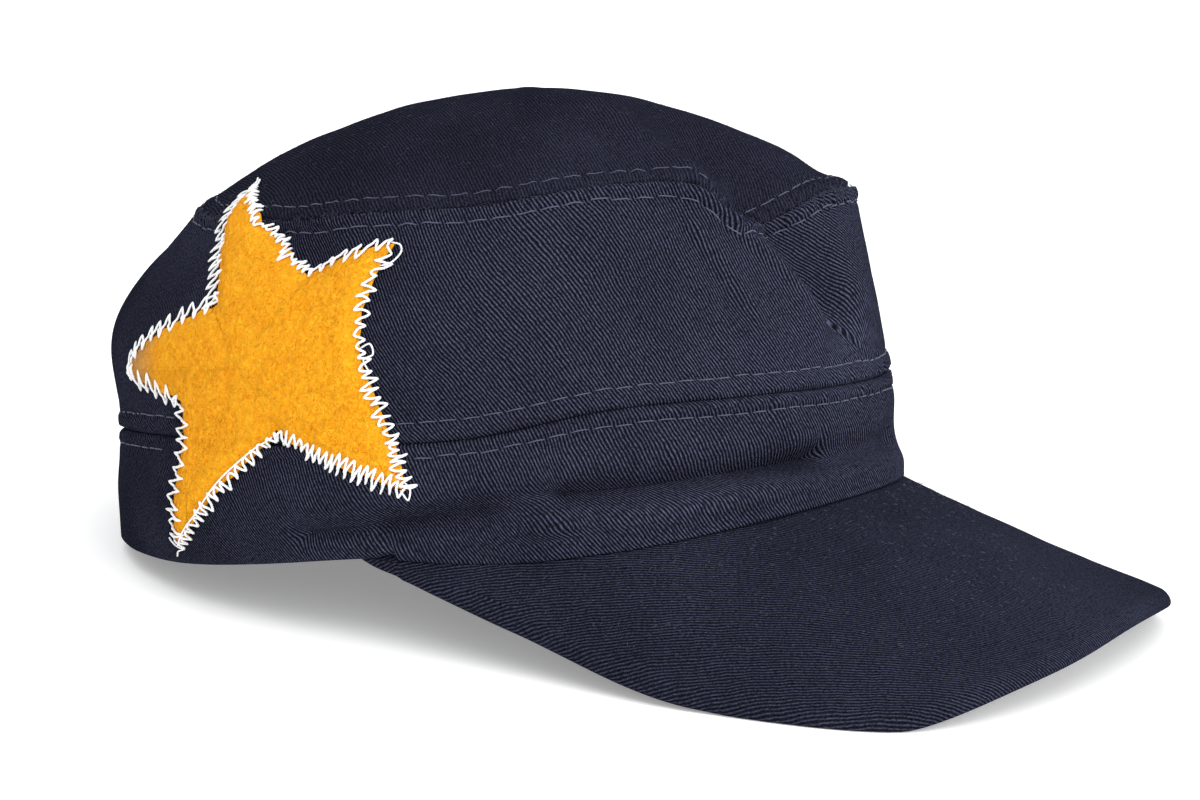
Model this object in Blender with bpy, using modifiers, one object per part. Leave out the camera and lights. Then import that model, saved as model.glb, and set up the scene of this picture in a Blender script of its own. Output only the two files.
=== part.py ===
"""A cotton-twill cadet cap with a felt star on the wearer's right side.

Metres, +Z up. The peak points towards -Y, and the wearer's right is -X. The cap rests on the
back of its band and on both front corners of its arched peak. The origin is on the surface
that it rests on, below the middle of its box.

Each wall is drawn in the cap's own frame, where the band stands level, by two numbers: an
angle round the head, 0 at the front and 90 at the wearer's left, and a level up the wall,
0 at the band's lower edge, 1 at the lower seam, 2 at the top seam and 3 at the crown's middle.
"""

import functools
import math

import bmesh
import bpy
from mathutils import Matrix, Vector

# Driving dimensions. Lengths are in metres, angles in degrees.
HEAD_LENGTH = 0.201
HEAD_WIDTH = 0.170
BAND_HEIGHT = 0.030
SIDE_HEIGHT = 0.047
DOME_RISE = 0.025
WALL = 0.0016
SEAM_GAP = 0.0006
PEAK_REACH = 0.125
PEAK_THICKNESS = 0.0028
PEAK_CORNER = 70.5
PEAK_ARCH_RADIUS = 0.1275
PEAK_DROOP = 22.4
PEAK_LIFT = 0.006
PEAK_EDGE_ROUND = 0.0009
BEHIND_CORNER = 45.0
STAR_RADIUS = 0.052
STAR_THICKNESS = 0.0018
STAR_GAP = 0.0004
FLATTENED = 0.0006

# The wall's sections, bottom to top. Front and back are shares of half the head's length, half
# width a share of half its width.
SECTIONS = (
    # level, front, back, half width
    (0.0, 0.980, 1.020, 1.000),
    (0.5, 0.942, 0.975, 1.040),
    (1.0, 0.945, 0.975, 0.990),
    (1.5, 0.943, 1.007, 0.936),
    (2.0, 0.934, 0.690, 0.780),
)
EDGE_SECTION = SECTIONS[0][1:]
TOP_SECTION = SECTIONS[-1][1:]

# The seams' heights: the lower one in band heights above the cap's edge, the top one in side
# heights above the lower one.
SEAM_HEIGHTS = (
    # at the front, at the back
    (1.05, 0.91),
    (0.90, 1.085),
)

# How far the seams wander up or down, in shares of the side's height.
LOWER_SEAM_WAVE = (
    # angle, lift
    (-180.0, 0.0),
    (-150.0, -0.015),
    (-115.0, 0.01),
    (-90.0, -0.02),
    (-60.0, -0.04),
    (-40.0, 0.035),
    (-20.0, 0.02),
    (0.0, -0.015),
    (30.0, -0.04),
    (90.0, 0.0),
    (150.0, 0.0),
)
TOP_SEAM_WAVE = (
    # angle, lift
    (-180.0, 0.0),
    (-150.0, 0.05),
    (-115.0, -0.02),
    (-90.0, 0.04),
    (-60.0, 0.075),
    (-40.0, 0.05),
    (-28.0, 0.02),
    (-19.0, -0.13),
    (-8.0, -0.06),
    (5.0, 0.03),
    (30.0, 0.02),
    (90.0, 0.0),
    (150.0, 0.0),
)

# Folds and dents of the cloth, each along a line from one place on the wall to another. Width
# and depth are shares of the side's height, and a depth below zero is a dent. They fade out
# below the held level, where the band is sewn, and from the upright level up they push more and
# more upwards.
HELD_LEVEL = 0.22
UPRIGHT_LEVEL = 1.5
FOLDS = (
    # from angle, from level, to angle, to level, width, depth
    (-25.0, 2.10, -2.0, 1.40, 0.12, 0.060),
    (-15.0, 2.04, 3.0, 1.38, 0.15, -0.130),
    (-24.0, 2.52, -24.0, 2.12, 0.16, 0.045),
    (-12.0, 2.30, -13.0, 2.10, 0.20, -0.050),
    (-48.0, 2.50, -36.0, 2.15, 0.20, -0.025),
    (-92.0, 1.96, -84.0, 1.78, 0.17, -0.060),
    (-62.0, 1.85, -50.0, 1.62, 0.16, -0.025),
    (-50.0, 1.40, -32.0, 1.62, 0.14, -0.020),
    (-70.0, 0.32, -48.0, 0.46, 0.10, -0.050),
    (-44.0, 0.44, 20.0, 0.36, 0.11, -0.060),
    (-40.0, 0.08, -18.0, 0.24, 0.10, 0.040),
    (-14.0, 0.20, 24.0, 0.10, 0.10, 0.030),
)

# Half of the peak's outline, from the band to the middle of the front edge. Across is a share of
# the head's half width, forward a share of the peak's reach.
PEAK_OUTLINE = (
    # across, forward
    (0.965, 0.00),
    (0.943, 0.244),
    (0.892, 0.585),
    (0.650, 0.920),
    (0.000, 1.025),
)

# The star's points and notches in turn, clockwise as seen from outside. Turn is in degrees from
# straight up, reach a share of its radius.
STAR_OUTLINE = (
    # turn, reach
    (30.5, 0.40),
    (49.5, 0.71),
    (86.0, 0.645),
    (122.0, 1.01),
    (142.5, 0.32),
    (211.5, 0.92),
    (252.0, 0.455),
    (268.0, 1.05),
    (316.0, 0.335),
    (325.5, 0.92),
)
STAR_ANGLE = -92.5
STAR_HEIGHT = 0.046

# Where the wall's columns are closer together, which is round the front corner's folds.
COLUMN_SPANS = (
    # from angle, to angle, columns
    (-180.0, -48.0, 30),
    (-48.0, 18.0, 26),
    (18.0, 180.0, 32),
)
BAND_LEVELS = (0.0, 0.15, 0.3, 0.45, 0.62, 0.8, 1.0)
SIDE_LEVELS = (1.0, 1.12, 1.28, 1.44, 1.6, 1.76, 1.9, 2.0)
CROWN_LEVELS = (2.0, 2.05, 2.12, 2.22, 2.35, 2.5, 2.68, 2.85)
PEAK_ROWS = 7
PEAK_COLUMNS = 48
STAR_EDGE_STEPS = 4
STAR_RINGS = (0.25, 0.5, 0.75, 1.0)
STAR_CROWN_ROWS = 5

# The small steps, in degrees and in levels, that a surface's slope is measured over.
ANGLE_STEP = 1.0
LEVEL_STEP = 0.02
NEAR_MIDDLE = 2.95

NAVY = (0.012, 0.016, 0.032, 1.0)
ORANGE = (0.92, 0.40, 0.02, 1.0)


def clear_scene():
    """Remove whatever the scene holds."""
    for old in list(bpy.data.objects):
        bpy.data.objects.remove(old, do_unlink=True)


def between(rows, place, column):
    """Read a column of a table at a place along its first column, on a smooth curve."""
    last = len(rows) - 1
    k = 0
    while k < last - 1 and place > rows[k + 1][0]:
        k += 1
    before, low, high, after = rows[max(k - 1, 0)], rows[k], rows[k + 1], rows[min(k + 2, last)]
    span = high[0] - low[0]
    t = (place - low[0]) / span
    start = (high[column] - before[column]) / (high[0] - before[0]) * span
    end = (after[column] - low[column]) / (after[0] - low[0]) * span
    rise = high[column] - low[column]
    return low[column] + t * (start + t * (3 * rise - 2 * start - end + t * (start + end - 2 * rise)))


def round_table(rows, angle):
    """Read a table of angles all round the head, joining its ends."""
    wrapped = [(row[0] - 360.0, row[1]) for row in rows[-2:]]
    wrapped += list(rows)
    wrapped += [(row[0] + 360.0, row[1]) for row in rows[:2]]
    return between(wrapped, (angle + 180.0) % 360.0 - 180.0, 1)


def smooth(t):
    """Ease from 0 to 1."""
    t = min(max(t, 0.0), 1.0)
    return t * t * (3.0 - 2.0 * t)


def peak_height(x, y):
    """The height of the peak's upper face: an arch across, drooping forward."""
    sag = PEAK_ARCH_RADIUS - math.sqrt(max(PEAK_ARCH_RADIUS**2 - x * x, 0.0))
    forward = -y - HEAD_LENGTH / 2 * EDGE_SECTION[0]
    return PEAK_LIFT - sag - math.tan(math.radians(PEAK_DROOP)) * forward


def ring(angle, front, back, half_width):
    """A point of an oval about the head's middle, seen from above."""
    turn = math.radians(angle)
    reach = front if math.cos(turn) > 0 else back
    x = half_width * HEAD_WIDTH / 2 * math.sin(turn)
    return x, -reach * HEAD_LENGTH / 2 * math.cos(turn)


def edge_height(angle, x, y):
    """The height of the band's lower edge: on the peak in front, level at 0 behind it."""
    on_peak = peak_height(x, y) + SEAM_GAP
    return on_peak * (1.0 - smooth((abs(angle) - PEAK_CORNER) / BEHIND_CORNER))


def wall_height(angle, level):
    """The height of the wall at a level from 0 to 2."""
    ahead = (1.0 + math.cos(math.radians(angle))) / 2
    lower, upper = (front * ahead + back * (1.0 - ahead) for front, back in SEAM_HEIGHTS)
    seam = BAND_HEIGHT * lower + SIDE_HEIGHT * round_table(LOWER_SEAM_WAVE, angle)
    if level <= 1.0:
        on_peak = max(-PEAK_CORNER, min(angle, PEAK_CORNER))
        edge = edge_height(angle, *ring(on_peak, *EDGE_SECTION))
        return edge * (1.0 - level) + seam * level
    rise = SIDE_HEIGHT * (upper + round_table(TOP_SEAM_WAVE, angle))
    return seam + rise * (level - 1.0)


def smooth_wall(angle, level):
    """A point of the inner face of the wall or of the crown, with no folds in it."""
    low = min(level, 2.0)
    front, back, half_width = (between(SECTIONS, low, column) for column in (1, 2, 3))
    x, y = ring(angle, front, back, half_width)
    z = wall_height(angle, low)
    if level <= 2.0:
        return Vector((x, y, z))
    share = 3.0 - level
    middle = HEAD_LENGTH / 4 * (back - front)
    flat = (wall_height(0.0, 2.0) + wall_height(180.0, 2.0)) / 2
    dome = flat * (1.0 - share) + DOME_RISE * (1.0 - share * share)
    return Vector((x * share, middle + (y - middle) * share, z * share + dome))


def out_of(surface, angle, level):
    """The direction out of a surface that is drawn by angle and level."""
    level = min(level, NEAR_MIDDLE)
    across = surface(angle + ANGLE_STEP, level) - surface(angle - ANGLE_STEP, level)
    up = surface(angle, level + LEVEL_STEP) - surface(angle, max(level - LEVEL_STEP, 0.0))
    return across.cross(up).normalized()


@functools.lru_cache(maxsize=None)
def fold_line(fold):
    """The start and the run of a fold's line."""
    start = smooth_wall(fold[0], fold[1])
    return start, smooth_wall(fold[2], fold[3]) - start


@functools.lru_cache(maxsize=None)
def wall_point(angle, level):
    """A point of the wall's inner face, in the cap's own frame, moved by the folds near it."""
    point = smooth_wall(angle, level)
    low = min(level, 2.0)
    along = smooth_wall(angle + ANGLE_STEP, low) - smooth_wall(angle - ANGLE_STEP, low)
    lean = math.pi / 2 * smooth((level - UPRIGHT_LEVEL) / (3.0 - UPRIGHT_LEVEL))
    out = Vector((along.y, -along.x, 0.0)).normalized() * math.cos(lean)
    out.z = math.sin(lean)
    total = 0.0
    for fold in FOLDS:
        start, run = fold_line(fold)
        width, depth = fold[4] * SIDE_HEIGHT, fold[5] * SIDE_HEIGHT
        share = min(max((point - start).dot(run) / run.length_squared, 0.0), 1.0)
        away = point - start - run * share
        under = away.dot(out)
        beside = (away - out * under).length
        total += depth * math.exp(-((beside / width) ** 2) - (under / SIDE_HEIGHT) ** 2)
    return point + out * total * smooth(level / HELD_LEVEL)


def cloth_point(angle, level, facing_level, distance):
    """A point of the cloth at a distance out from its inner face, leaning as at another level."""
    point = wall_point(angle, level) + out_of(wall_point, angle, facing_level) * distance
    if level == 0.0 and abs(angle) < PEAK_CORNER:
        point.z = edge_height(angle, point.x, point.y)
    return point


def peak_point(across, forward):
    """A point of the peak's upper face: across from -1 to 1, forward from the band to the edge."""
    angle = across * PEAK_CORNER
    inner_x, inner_y = ring(angle, *EDGE_SECTION)
    outer_x, outer_y = peak_edge(across)
    x = inner_x + (outer_x - inner_x) * forward
    y = inner_y + (outer_y - inner_y) * forward
    return Vector((x, y, peak_height(x, y)))


def peak_edge(across):
    """A point of the peak's outline, seen from above."""
    places = [0.0]
    for here, there in zip(PEAK_OUTLINE, PEAK_OUTLINE[1:]):
        x = (there[0] - here[0]) * HEAD_WIDTH / 2
        y = (there[1] - here[1]) * PEAK_REACH
        places.append(places[-1] + math.hypot(x, y))
    half = [(place, *row) for place, row in zip(places, PEAK_OUTLINE)]
    mirrored = [(2 * places[-1] - place, -x, y) for place, x, y in reversed(half[:-1])]
    rows = half + mirrored
    place = (1.0 - across) * places[-1]
    corner_y = ring(PEAK_CORNER, *EDGE_SECTION)[1]
    return between(rows, place, 1) * HEAD_WIDTH / 2, corner_y - between(rows, place, 2) * PEAK_REACH


def resting_pose():
    """The turn and shift that bring the cap down on its band's back and its peak's corners."""
    back = wall_point(180.0, 0.0)
    edge = [peak_point(step / PEAK_COLUMNS, 1.0) for step in range(PEAK_COLUMNS + 1)]
    down = Vector((0.0, 0.0, PEAK_THICKNESS))
    tilt = max(math.atan2(back.z - (point.z - PEAK_THICKNESS), back.y - point.y) for point in edge)
    turn = Matrix.Rotation(-tilt, 4, "X")
    floor = min((turn @ back).z, min((turn @ (point - down)).z for point in edge)) + FLATTENED
    widest = max((turn @ wall_point(180.0, level)).y for level in BAND_LEVELS + SIDE_LEVELS)
    ends = [(turn @ point).y for point in edge] + [widest + WALL]
    return Matrix.Translation((0.0, -(min(ends) + max(ends)) / 2, -floor)) @ turn


def material(name, colour):
    """A matt cloth material."""
    made = bpy.data.materials.new(name)
    made.use_nodes = True
    shader = made.node_tree.nodes["Principled BSDF"]
    shader.inputs["Base Color"].default_value = colour
    shader.inputs["Roughness"].default_value = 0.9
    shader.inputs["Metallic"].default_value = 0.0
    made.diffuse_color = colour
    return made


def add_grid(name, rows, around, colour, collection, pose, ends=(None, None), joined=False):
    """A mesh through rows of points, which may run all round the head, be closed by a point at
    either end, or have its last row joined to its first. Each four-sided face is split the same
    way up, so that felt that lies on a wall keeps its gap to it."""
    shape = bmesh.new()
    verts = [[shape.verts.new(pose @ point) for point in row] for row in rows]
    pairs = list(zip(verts, verts[1:])) + ([(verts[-1], verts[0])] if joined else [])
    for lower, upper in pairs:
        for k in range(len(lower) if around else len(lower) - 1):
            after = (k + 1) % len(lower)
            corners = [lower[k], lower[after], upper[after], upper[k]]
            if corners[0].co.z > corners[3].co.z:
                corners = corners[1:] + corners[:1]
            shape.faces.new(corners[:3])
            shape.faces.new((corners[0], corners[2], corners[3]))
    for row, end in ((verts[0][::-1], ends[0]), (verts[-1], ends[1])):
        if end is not None:
            tip = shape.verts.new(pose @ end)
            for k, vert in enumerate(row):
                shape.faces.new((vert, row[(k + 1) % len(row)], tip))
    mesh = bpy.data.meshes.new(name)
    shape.to_mesh(mesh)
    shape.free()
    mesh.shade_smooth()
    mesh.set_sharp_from_angle(angle=math.radians(65.0))
    mesh.materials.append(material(name, colour))
    piece = bpy.data.objects.new(name, mesh)
    collection.objects.link(piece)
    return piece


def thicken(piece, thickness, offset):
    """Give an open surface its thickness."""
    solidify = piece.modifiers.new("Thickness", "SOLIDIFY")
    solidify.thickness = thickness
    solidify.offset = offset
    solidify.use_even_offset = True
    solidify.use_quality_normals = True


def add_ground(cutters):
    """A block whose top is the surface that the cap rests on, which flattens the cloth there."""
    size = 4.0 * HEAD_LENGTH
    bpy.ops.mesh.primitive_cube_add(size=size, location=(0.0, 0.0, -size / 2))
    ground = bpy.context.active_object
    ground.name = "ground"
    for collection in list(ground.users_collection):
        collection.objects.unlink(ground)
    cutters.objects.link(ground)
    ground.hide_render = True
    ground.display_type = "WIRE"
    return ground


def cut(piece, cutter, operation):
    """Cut a piece with a closed cutter."""
    boolean = piece.modifiers.new(cutter.name, "BOOLEAN")
    boolean.operation = operation
    boolean.solver = "EXACT"
    boolean.object = cutter


def seamed(levels):
    """Pairs of a row's level and the level whose lean it takes, keeping a gap at each seam."""
    height = BAND_HEIGHT if levels[0] < 1.0 else SIDE_HEIGHT
    room = SEAM_GAP / 2 / height
    first = levels[0] + (room if levels[0] > 0.0 else 0.0)
    last = levels[-1] - (room if levels[-1] <= 2.0 else 0.0)
    return list(zip([first, *levels[1:-1], last], levels))


def star_place(point):
    """The angle and level on the wall of a point of the flat star, given in star radii."""
    along = STAR_RADIUS * point.x
    up = STAR_HEIGHT + STAR_RADIUS * point.y
    if up < BAND_HEIGHT:
        level = up / BAND_HEIGHT
    elif up < BAND_HEIGHT + SIDE_HEIGHT:
        level = 1.0 + (up - BAND_HEIGHT) / SIDE_HEIGHT
    else:
        level = 2.0 + (up - BAND_HEIGHT - SIDE_HEIGHT) / (TOP_SECTION[2] * HEAD_WIDTH / 2)
    step = smooth_wall(STAR_ANGLE + ANGLE_STEP, level) - smooth_wall(STAR_ANGLE - ANGLE_STEP, level)
    return STAR_ANGLE + along / (step.length / (2 * ANGLE_STEP)), level


def wall_angles():
    """The angles of the wall's columns."""
    return [
        start + (end - start) * k / count for start, end, count in COLUMN_SPANS for k in range(count)
    ]


def cloth_rows(levels, distance):
    """Rows of points of the cloth all round the head."""
    angles = wall_angles()
    return [
        [cloth_point(angle, level, facing, distance) for angle in angles] for level, facing in levels
    ]


def add_wall(name, levels, collection, pose):
    """A closed wall round the head: up its inner face and down its outer one."""
    rows = cloth_rows(levels, WALL) + cloth_rows(levels, 0.0)[::-1]
    return add_grid(name, rows, True, NAVY, collection, pose, joined=True)


def add_crown(collection, pose):
    """The domed panel, from the middle of its outer face round its rim to its inner middle."""
    levels = seamed(CROWN_LEVELS)
    outer = cloth_rows(levels, WALL)
    inner = cloth_rows(levels, 0.0)
    middle = wall_point(0.0, 3.0)
    top = middle + Vector((0.0, 0.0, WALL))
    rows = inner[::-1] + outer
    return add_grid("crown_top", rows, True, NAVY, collection, pose, ends=(middle, top))


def star_outline():
    """The star's outline as places in its own plane, with steps along each edge."""
    points = []
    for turn, reach in STAR_OUTLINE:
        points.append(Vector((math.sin(math.radians(turn)), math.cos(math.radians(turn)))) * reach)
    outline = []
    for here, there in zip(points, points[1:] + points[:1]):
        outline += [here.lerp(there, step / STAR_EDGE_STEPS) for step in range(STAR_EDGE_STEPS)]
    return outline


def add_star(cap, cutters, pose):
    """Felt that follows the walls outside them, cut to the star's outline."""
    levels = [(level, level) for level in BAND_LEVELS + SIDE_LEVELS[1:]]
    levels += [(level, level) for level in CROWN_LEVELS[1:1 + STAR_CROWN_ROWS]]
    near = cloth_rows(levels, WALL + STAR_GAP)
    far = cloth_rows(levels, WALL + STAR_GAP + STAR_THICKNESS)
    felt = add_grid("star", far + near[::-1], True, ORANGE, cap, pose, joined=True)
    rows = []
    for share in STAR_RINGS:
        rows.append([wall_point(*star_place(point * share)) for point in reversed(star_outline())])
    middle = wall_point(*star_place(Vector((0.0, 0.0))))
    cutter = add_grid("star_outline", rows[::-1], True, ORANGE, cutters, pose, ends=(None, middle))
    thicken(cutter, 4.0 * (WALL + STAR_THICKNESS), 1.0)
    cutter.hide_render = True
    cutter.display_type = "WIRE"
    cut(felt, cutter, "INTERSECT")


def add_peak(cap, pose):
    """The arched peak, whose upper face drops from the band to a rounded edge."""
    steps = [2.0 * k / PEAK_COLUMNS - 1.0 for k in range(PEAK_COLUMNS + 1)]
    rows = [[peak_point(step, 1.0 - row / PEAK_ROWS) for step in steps] for row in range(PEAK_ROWS + 1)]
    peak = add_grid("peak", rows, False, NAVY, cap, pose)
    thicken(peak, PEAK_THICKNESS, -1.0)
    bevel = peak.modifiers.new("Rounded edge", "BEVEL")
    bevel.width = PEAK_EDGE_ROUND
    bevel.segments = 2
    bevel.limit_method = "ANGLE"
    bevel.angle_limit = math.radians(50.0)
    return peak


def build():
    """Make the cap's pieces."""
    clear_scene()
    cap = bpy.data.collections.new("cadet_cap")
    cutters = bpy.data.collections.new("cutters")
    cutters.hide_render = True
    for collection in (cap, cutters):
        bpy.context.scene.collection.children.link(collection)
    pose = resting_pose()
    band = add_wall("band", seamed(BAND_LEVELS), cap, pose)
    add_wall("side_panel", seamed(SIDE_LEVELS), cap, pose)
    add_crown(cap, pose)
    peak = add_peak(cap, pose)
    add_star(cap, cutters, pose)
    ground = add_ground(cutters)
    for piece in (band, peak):
        cut(piece, ground, "DIFFERENCE")


build()
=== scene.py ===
"""The looks of a cotton-twill cadet cap with a felt star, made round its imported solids.

Metres, +Z up, in the frame of the solids: the peak points towards -Y and the star is at -X.

Every wall is drawn as its solid is, in the cap's own frame and by two numbers: an angle round
the head, 0 at the front and 90 at the wearer's left, and a level up the wall, 0 at the band's
lower edge, 1 at the lower seam, 2 at the top seam and 3 at the crown's middle.
"""

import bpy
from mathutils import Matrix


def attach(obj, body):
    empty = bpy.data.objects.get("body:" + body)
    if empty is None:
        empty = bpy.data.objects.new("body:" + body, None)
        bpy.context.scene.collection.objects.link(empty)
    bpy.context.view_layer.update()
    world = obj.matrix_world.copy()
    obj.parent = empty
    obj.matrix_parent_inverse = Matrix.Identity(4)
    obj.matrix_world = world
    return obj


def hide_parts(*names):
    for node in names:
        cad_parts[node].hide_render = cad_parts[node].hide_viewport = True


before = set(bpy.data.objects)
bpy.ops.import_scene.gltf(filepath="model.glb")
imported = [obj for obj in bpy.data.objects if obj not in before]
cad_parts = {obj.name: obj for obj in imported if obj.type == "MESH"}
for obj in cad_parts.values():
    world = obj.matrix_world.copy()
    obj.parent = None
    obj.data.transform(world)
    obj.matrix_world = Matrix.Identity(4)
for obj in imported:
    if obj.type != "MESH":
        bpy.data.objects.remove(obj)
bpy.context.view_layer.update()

import functools
import math

import bpy
import numpy as np
from mathutils import Matrix, Vector

# The sizes that the solids are drawn from. Lengths are in metres, angles in degrees.
HEAD_LENGTH = 0.201
HEAD_WIDTH = 0.170
BAND_HEIGHT = 0.030
SIDE_HEIGHT = 0.047
DOME_RISE = 0.025
WALL = 0.0016
SEAM_GAP = 0.0006
PEAK_REACH = 0.125
PEAK_THICKNESS = 0.0028
PEAK_CORNER = 70.5
PEAK_ARCH_RADIUS = 0.1275
PEAK_DROOP = 22.4
PEAK_LIFT = 0.006
BEHIND_CORNER = 45.0
STAR_RADIUS = 0.052
STAR_THICKNESS = 0.0018
STAR_GAP = 0.0004
FLATTENED = 0.0006
STAR_ANGLE = -92.5
STAR_HEIGHT = 0.046

# The wall's sections, bottom to top. Front and back are shares of half the head's length, half
# width a share of half its width.
SECTIONS = (
    # level, front, back, half width
    (0.0, 0.980, 1.020, 1.000),
    (0.5, 0.942, 0.975, 1.040),
    (1.0, 0.945, 0.975, 0.990),
    (1.5, 0.943, 1.007, 0.936),
    (2.0, 0.934, 0.690, 0.780),
)
EDGE_SECTION = SECTIONS[0][1:]
TOP_SECTION = SECTIONS[-1][1:]

# The seams' heights: the lower one in band heights above the cap's edge, the top one in side
# heights above the lower one.
SEAM_HEIGHTS = (
    # at the front, at the back
    (1.05, 0.91),
    (0.90, 1.085),
)

# How far the seams wander up or down, in shares of the side's height. Between the star and the
# front corner the top one is up to 1.4 mm higher than the solids' is, which is nearer to the photo.
LOWER_SEAM_WAVE = (
    # angle, lift
    (-180.0, 0.0),
    (-150.0, -0.015),
    (-115.0, 0.01),
    (-90.0, -0.02),
    (-60.0, -0.04),
    (-40.0, 0.035),
    (-20.0, 0.02),
    (0.0, -0.015),
    (30.0, -0.04),
    (90.0, 0.0),
    (150.0, 0.0),
)
TOP_SEAM_WAVE = (
    # angle, lift
    (-180.0, 0.0),
    (-150.0, 0.05),
    (-115.0, -0.02),
    (-90.0, 0.04),
    (-60.0, 0.090),
    (-40.0, 0.080),
    (-28.0, 0.045),
    (-19.5, -0.11),
    (-8.0, -0.05),
    (5.0, 0.03),
    (30.0, 0.02),
    (90.0, 0.0),
    (150.0, 0.0),
)

# Folds and dents of the cloth, each along a line from one place on the wall to another. Width
# and depth are shares of the side's height, and a depth below zero is a dent. The first twelve
# are the solids' own, and the others bring the cloth nearer to the photo.
HELD_LEVEL = 0.22
UPRIGHT_LEVEL = 1.5
FOLDS = (
    # from angle, from level, to angle, to level, width, depth
    (-25.0, 2.10, -2.0, 1.40, 0.12, 0.060),
    (-15.0, 2.04, 3.0, 1.38, 0.15, -0.130),
    (-24.0, 2.52, -24.0, 2.12, 0.16, 0.045),
    (-12.0, 2.30, -13.0, 2.10, 0.20, -0.050),
    (-48.0, 2.50, -36.0, 2.15, 0.20, -0.025),
    (-92.0, 1.96, -84.0, 1.78, 0.17, -0.060),
    (-62.0, 1.85, -50.0, 1.62, 0.16, -0.025),
    (-50.0, 1.40, -32.0, 1.62, 0.14, -0.020),
    (-70.0, 0.32, -48.0, 0.46, 0.10, -0.050),
    (-44.0, 0.44, 20.0, 0.36, 0.11, -0.060),
    (-40.0, 0.08, -18.0, 0.24, 0.10, 0.040),
    (-14.0, 0.20, 24.0, 0.10, 0.10, 0.030),
    (-31.0, 1.82, -22.0, 1.50, 0.06, -0.012),
    (-27.0, 1.80, -17.0, 1.46, 0.05, 0.010),
    (-58.0, 0.20, -40.0, 0.30, 0.06, 0.012),
    (-30.0, 0.62, -8.0, 0.55, 0.07, 0.012),
    (-75.0, 1.62, -62.0, 1.40, 0.10, 0.012),
    (-128.0, 1.60, -122.0, 1.20, 0.12, -0.014),
    (-12.0, 1.91, 1.0, 1.42, 0.07, -0.042),
    (-22.0, 1.95, -3.0, 1.46, 0.045, 0.022),
    (0.0, 2.03, 48.0, 2.03, 0.12, -0.030),
    (-46.0, 0.40, -6.0, 0.37, 0.065, -0.080),
    (-50.0, 0.24, 4.0, 0.22, 0.050, 0.022),
    (-20.0, 0.34, 24.0, 0.26, 0.045, -0.028),
    (-64.0, 0.52, -40.0, 0.62, 0.050, 0.014),
    (-10.0, 0.60, 22.0, 0.52, 0.060, 0.020),
    (-82.0, 0.28, -57.0, 0.40, 0.070, -0.070),
    (-12.0, 0.76, 36.0, 0.76, 0.130, 0.028),
)

# Half of the peak's outline, from the band to the middle of the front edge. Across is a share of
# the head's half width, forward a share of the peak's reach.
PEAK_OUTLINE = (
    # across, forward
    (0.965, 0.00),
    (0.943, 0.244),
    (0.892, 0.585),
    (0.650, 0.920),
    (0.000, 1.025),
)

# The star's points and notches in turn, clockwise as seen from outside. Turn is in degrees from
# straight up, reach a share of its radius, and bow is how far the edge to the next one swells.
# The solids' edges are straight between the same points and notches.
STAR_OUTLINE = (
    # turn, reach, bow
    (30.5, 0.40, 0.02),
    (49.5, 0.71, 0.0),
    (86.0, 0.645, 0.0),
    (122.0, 1.01, 0.02),
    (142.5, 0.32, 0.02),
    (211.5, 0.92, -0.045),
    (252.0, 0.455, 0.0),
    (268.0, 1.05, 0.03),
    (316.0, 0.335, 0.0),
    (325.5, 0.92, 0.02),
)

# How the cloth is sewn. Offsets are distances from a seam, along the cloth. The top seam's girth
# is a share of the lower one's, and the bend under the star a share of half the head's length.
STITCH_LENGTH = 0.0041
STITCH_SPACE = 0.0006
STITCH_RADIUS = 0.00016
HIDDEN_STITCHES = 0.55
STITCH_ROWS = (
    # seam's level, offset up
    (1.0, 0.0045),
    (1.0, -0.0035),
    (2.0, 0.0038),
    (2.0, -0.0032),
)
WELT_RISE = 0.0006
STITCH_DIMPLE = 0.0004
PUCKER = 0.00026
WRINKLE = 0.00025
SEAM_BLEND = 0.004
SEWN_GAP = 0.00002
TOP_SEAM_GIRTH = 0.84
STAR_SIDE_BEND = 0.93
CREASE_ROUND = 0.0007
RIDGE_ROUND = 0.0004

# The white zigzag along each of the star's edges, in the outline's order: how far it reaches
# inside and outside the edge, the length of one zig, and how ragged it is, all in metres.
ZIGZAG = (
    # inside, outside, pitch, ragged
    (0.0021, 0.0019, 0.0029, 0.0003),
    (0.0016, 0.0014, 0.0024, 0.0006),
    (0.0018, 0.0019, 0.0019, 0.0005),
    (0.0024, 0.0023, 0.0019, 0.0003),
    (0.0009, 0.0018, 0.0025, 0.0003),
    (0.0040, 0.0044, 0.0028, 0.0003),
    (0.0025, 0.0021, 0.0042, 0.0005),
    (0.0012, 0.0034, 0.0042, 0.0003),
    (0.0006, 0.0052, 0.0022, 0.0004),
    (0.0012, 0.0011, 0.0018, 0.0006),
)
THREAD_RADIUS = 0.00029
THREAD_TWIST = 0.0007

# The felt, hand cut and pressed down along its sewn edge, to a share of its height.
HAND_CUT = 0.006
PRESSED_SHARE = 0.42
PRESSED_WIDTH = 0.0042
FELT_BACK = 0.0001
STAR_STEPS = 44

# Places in the star's outline: the corner that is coloured darker and browner, and the edge with a
# straight thread.
DARK_TIP_CORNER = 7
STRAIGHT_EDGE = 4

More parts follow.
